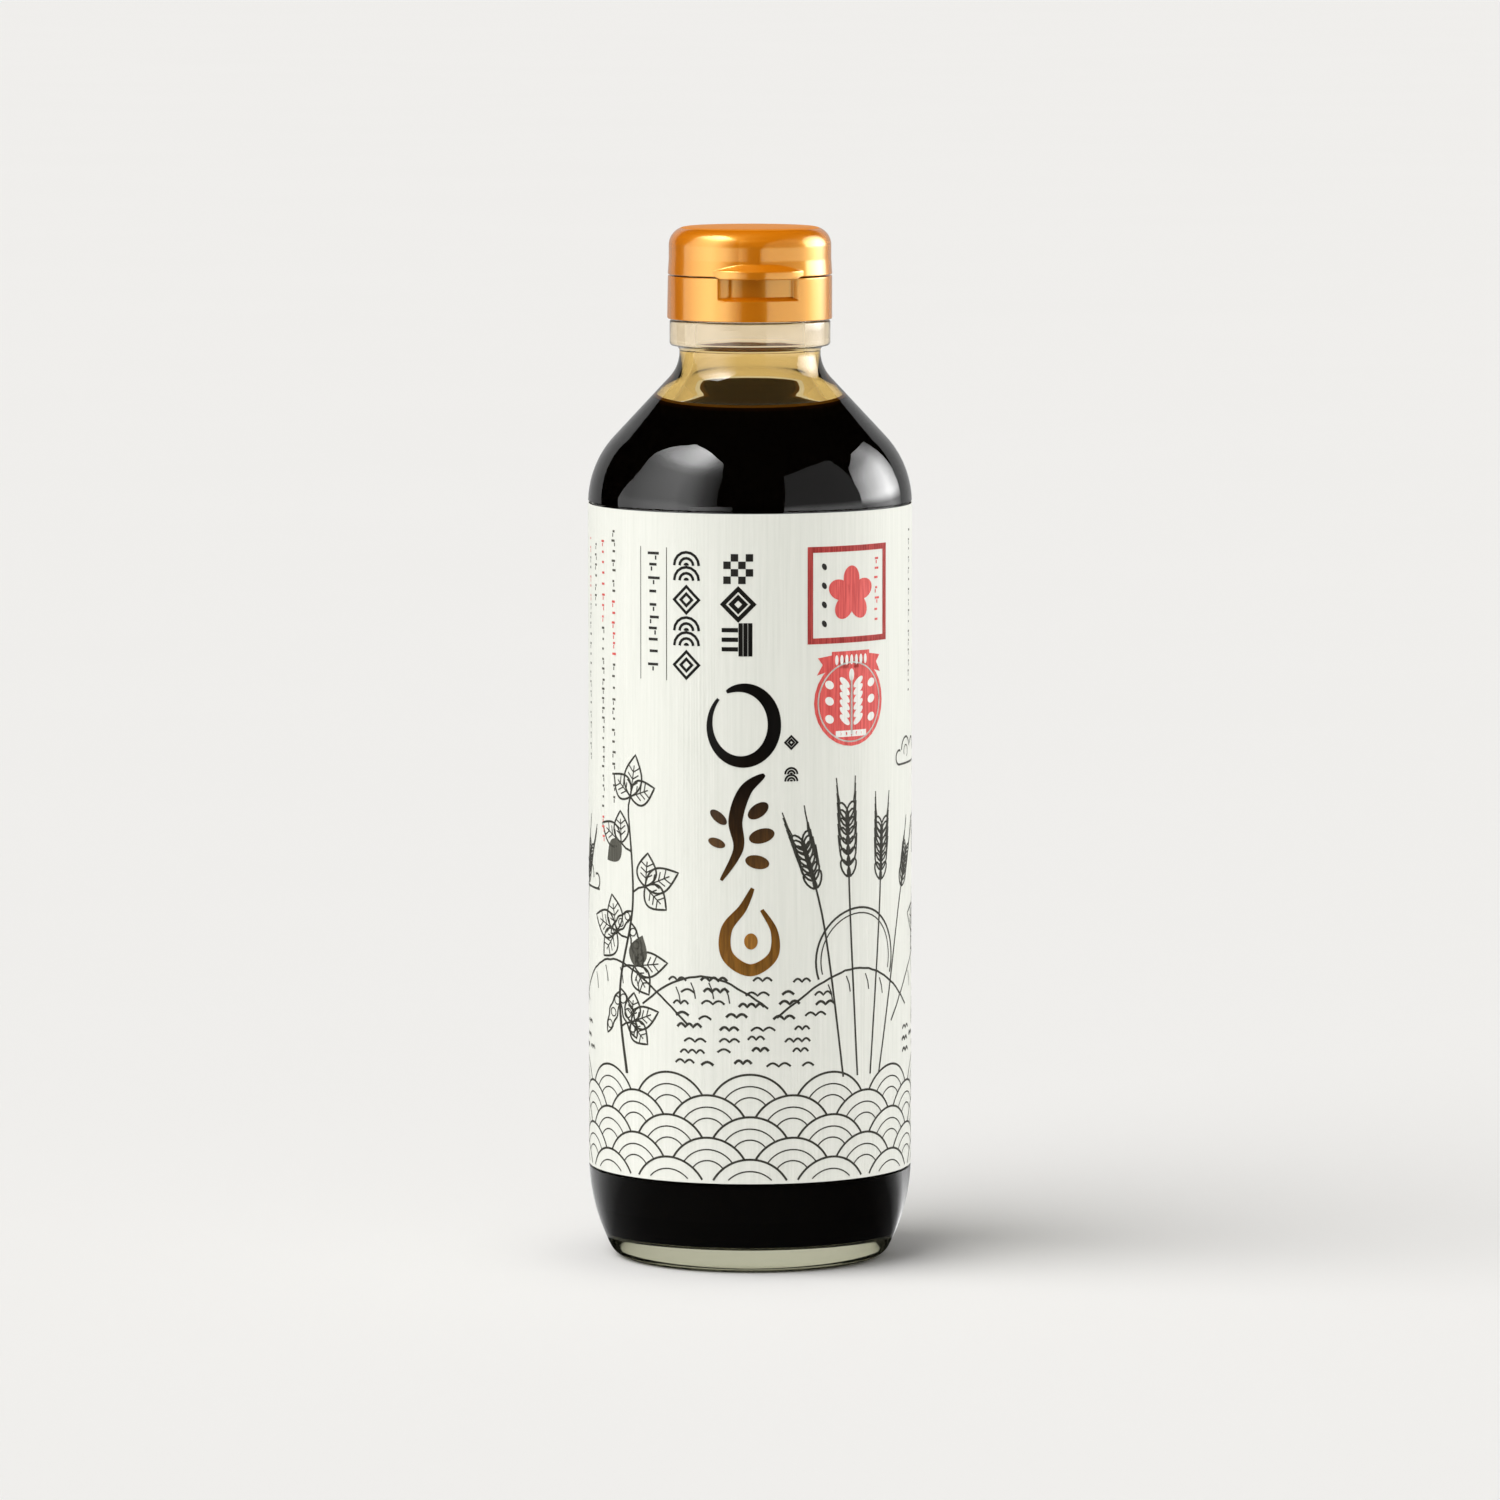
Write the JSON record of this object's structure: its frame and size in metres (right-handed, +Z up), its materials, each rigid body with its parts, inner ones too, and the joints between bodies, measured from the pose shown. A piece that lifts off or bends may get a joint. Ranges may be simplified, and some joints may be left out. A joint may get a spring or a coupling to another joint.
{
  "type": "soy sauce bottle",
  "caption": "Round glass bottle full of dark soy sauce, with a sloping shoulder, a tall wrap-around paper label and a hinged flip-top cap.",
  "frame": {"origin": "middle of the base, on the surface that the bottle stands on", "axes": "+Z up along the bottle's axis; -Y is the front, which the label faces; +X to the right as seen from the front"},
  "size_m": [0.0724, 0.0724, 0.2313],
  "materials": {
    "clear_glass": "polished, clear, slightly green",
    "soy_sauce": "near-black brown liquid, wet",
    "label_paper": "off-white ribbed paper",
    "cap_plastic": "pearly orange-gold, satin gloss"
  },
  "bodies": {
    "bottle": {"glass_bottle": "clear_glass", "soy_sauce": "soy_sauce", "label": "label_paper", "cap_base": "cap_plastic"},
    "lid": {"flip_lid": "cap_plastic"}
  },
  "joints": [
    {"name": "lid_hinge", "type": "hinge", "parent": "bottle", "child": "lid", "pos_m": [-0.00212, 0.01858, 0.2204], "axis": [-0.9936, -0.1132, 0], "range_deg": [0, 140]}
  ]
}
